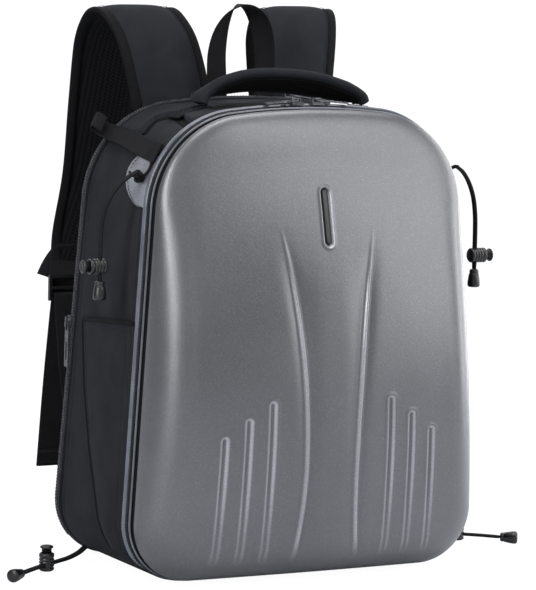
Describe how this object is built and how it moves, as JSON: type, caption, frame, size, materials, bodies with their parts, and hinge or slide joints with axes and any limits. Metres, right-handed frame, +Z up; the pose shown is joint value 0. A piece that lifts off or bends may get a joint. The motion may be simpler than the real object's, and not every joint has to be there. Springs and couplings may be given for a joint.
{
  "type": "hard-shell drone backpack",
  "caption": "Hard-shell backpack case for a drone: moulded lid and padded back panel that fold open, shoulder straps, handle, side pockets and elastic cords.",
  "frame": {"origin": "middle of the base, on the floor, midway between the front and rear seams", "axes": "+Z up the back panel, -Y out of the front shell, +X to the right as seen from the front"},
  "size_m": [0.5762, 0.3386, 0.557],
  "materials": {
    "pack_fabric": "plain-woven coated polyester, charcoal",
    "shell_plastic": "satin moulded plastic with a fine grain, mid grey",
    "trim_rubber": "satin grey piping",
    "webbing": "ribbed black webbing",
    "air_mesh": "black spacer mesh",
    "lining_fabric": "plain dark lining",
    "strap_fabric": "charcoal outer fabric with black mesh underside",
    "black_plastic": "black moulded plastic",
    "foam": "dark grey closed-cell foam",
    "reflective_film": "light grey reflective film",
    "zip_metal": "gunmetal",
    "elastic_cord": "braided black elastic cord"
  },
  "bodies": {
    "case": {"gusset": "pack_fabric", "front_zip_tape": "webbing", "rear_zip_tape": "webbing", "foam_cradle": "foam", "partition": "lining_fabric", "laptop_sleeve": "lining_fabric", "side_pocket_left": "pack_fabric", "side_pocket_right": "pack_fabric", "reflective_patch_left": "reflective_film", "reflective_patch_right": "reflective_film", "gear_loop_left": "webbing", "gear_loop_right": "webbing", "bungee_lower_left_a": "elastic_cord", "bungee_lower_left_b": "elastic_cord", "bungee_lower_right_a": "elastic_cord", "bungee_lower_right_b": "elastic_cord", "bungee_upper_left_a": "elastic_cord", "bungee_upper_left_b": "elastic_cord", "bungee_upper_right_a": "elastic_cord", "bungee_upper_right_b": "elastic_cord", "cord_bell_lower_left": "black_plastic", "cord_bell_lower_right": "black_plastic", "cord_bell_upper_left": "black_plastic", "cord_bell_upper_right": "black_plastic"},
    "lid": {"front_shell": "shell_plastic", "shell_edge_trim": "trim_rubber", "lid_zip_tape": "webbing", "lid_mesh_pocket": "air_mesh", "slot_inlay": "black_plastic"},
    "back_panel": {"panel_zip_tape": "webbing", "back_board": "lining_fabric", "back_pad_left": "air_mesh", "back_pad_right": "air_mesh", "lumbar_pad": "air_mesh", "shoulder_strap_left": "strap_fabric", "shoulder_strap_right": "strap_fabric", "strap_buckle_left": "black_plastic", "strap_buckle_right": "black_plastic", "adjuster_webbing_left": "webbing", "adjuster_webbing_right": "webbing"},
    "handle": {"carry_handle": "pack_fabric"},
    "hanging_loop": {"hang_loop": "webbing"},
    "front_left_slider": {"front_left_slider": "zip_metal"},
    "front_left_puller": {"front_left_puller": "zip_metal"},
    "front_right_slider": {"front_right_slider": "zip_metal"},
    "front_right_puller": {"front_right_puller": "zip_metal"},
    "rear_side_slider": {"rear_side_slider": "zip_metal"},
    "rear_side_puller": {"rear_side_puller": "zip_metal"},
    "rear_top_slider": {"rear_top_slider": "zip_metal"},
    "rear_top_puller": {"rear_top_puller": "zip_metal"},
    "cord_lock_upper_left": {"cord_lock_upper_left": "black_plastic"},
    "lock_button_upper_left": {"lock_button_upper_left": "black_plastic"},
    "cord_lock_lower_left": {"cord_lock_lower_left": "black_plastic"},
    "lock_button_lower_left": {"lock_button_lower_left": "black_plastic"},
    "cord_lock_upper_right": {"cord_lock_upper_right": "black_plastic"},
    "lock_button_upper_right": {"lock_button_upper_right": "black_plastic"},
    "cord_lock_lower_right": {"cord_lock_lower_right": "black_plastic"},
    "lock_button_lower_right": {"lock_button_lower_right": "black_plastic"}
  },
  "joints": [
    {"name": "lid_hinge", "type": "hinge", "parent": "case", "child": "lid", "pos_m": [0, -0.085, 0], "axis": [1, 0, 0], "range_deg": [0, 88]},
    {"name": "back_panel_hinge", "type": "hinge", "parent": "case", "child": "back_panel", "pos_m": [0, 0.085, 0], "axis": [-1, 0, 0], "range_deg": [0, 75]},
    {"name": "handle_tilt", "type": "hinge", "parent": "case", "child": "handle", "pos_m": [0, -0.03, 0.46306], "axis": [1, 0, 0], "range_deg": [-10, 10], "stiffness_Nm_per_rad": 0.6},
    {"name": "hang_loop_fold", "type": "hinge", "parent": "case", "child": "hanging_loop", "pos_m": [0, 0.058, 0.46406], "axis": [1, 0, 0], "range_deg": [-8, 35], "stiffness_Nm_per_rad": 0.1},
    {"name": "front_left_slide", "type": "slide", "parent": "case", "child": "front_left_slider", "axis": [-0.9989, 0, -0.0459], "range_m": [0, 0.045]},
    {"name": "front_left_swing", "type": "hinge", "parent": "front_left_slider", "child": "front_left_puller", "pos_m": [-0.01109, -0.085, 0.46718], "axis": [0, 1, 0], "range_deg": [0, 150]},
    {"name": "front_right_slide", "type": "slide", "parent": "case", "child": "front_right_slider", "axis": [0.9989, 0, -0.0459], "range_m": [0, 0.045]},
    {"name": "front_right_swing", "type": "hinge", "parent": "front_right_slider", "child": "front_right_puller", "pos_m": [0.01109, -0.085, 0.46718], "axis": [0, -1, 0], "range_deg": [0, 150]},
    {"name": "rear_side_slide", "type": "slide", "parent": "case", "child": "rear_side_slider", "axis": [0.0579, -0.0548, 0.9968], "range_m": [-0.15, 0.105]},
    {"name": "rear_side_swing", "type": "hinge", "parent": "rear_side_slider", "child": "rear_side_puller", "pos_m": [-0.18195, 0.07191, 0.2383], "axis": [0.0032, 0.9985, 0.0547], "range_deg": [0, 150]},
    {"name": "rear_top_slide", "type": "slide", "parent": "case", "child": "rear_top_slider", "axis": [0.9971, 0.0041, -0.0754], "range_m": [-0.008, 0.018]},
    {"name": "rear_top_swing", "type": "hinge", "parent": "rear_top_slider", "child": "rear_top_puller", "pos_m": [0.05532, 0.0597, 0.46517], "axis": [0.0038, -1, -0.0003], "range_deg": [0, 105]},
    {"name": "upper_left_lock_slide", "type": "slide", "parent": "case", "child": "cord_lock_upper_left", "axis": [0, 0, 1], "range_m": [-0.004, 0.028]},
    {"name": "upper_left_button_press", "type": "slide", "parent": "cord_lock_upper_left", "child": "lock_button_upper_left", "axis": [1, 0, 0], "range_m": [0, 0.004], "stiffness_N_per_m": 400, "springref_m": -0.002},
    {"name": "lower_left_lock_slide", "type": "slide", "parent": "case", "child": "cord_lock_lower_left", "axis": [0.8192, 0.5735, 0], "range_m": [-0.01, 0.026]},
    {"name": "lower_left_button_press", "type": "slide", "parent": "cord_lock_lower_left", "child": "lock_button_lower_left", "axis": [0, 0, -1], "range_m": [0, 0.004], "stiffness_N_per_m": 400, "springref_m": -0.002},
    {"name": "upper_right_lock_slide", "type": "slide", "parent": "case", "child": "cord_lock_upper_right", "axis": [0, 0, 1], "range_m": [-0.004, 0.028]},
    {"name": "upper_right_button_press", "type": "slide", "parent": "cord_lock_upper_right", "child": "lock_button_upper_right", "axis": [-1, 0, 0], "range_m": [0, 0.004], "stiffness_N_per_m": 400, "springref_m": -0.002},
    {"name": "lower_right_lock_slide", "type": "slide", "parent": "case", "child": "cord_lock_lower_right", "axis": [-0.8192, 0.5735, 0], "range_m": [-0.01, 0.026]},
    {"name": "lower_right_button_press", "type": "slide", "parent": "cord_lock_lower_right", "child": "lock_button_lower_right", "axis": [0, 0, -1], "range_m": [0, 0.004], "stiffness_N_per_m": 400, "springref_m": -0.002}
  ]
}
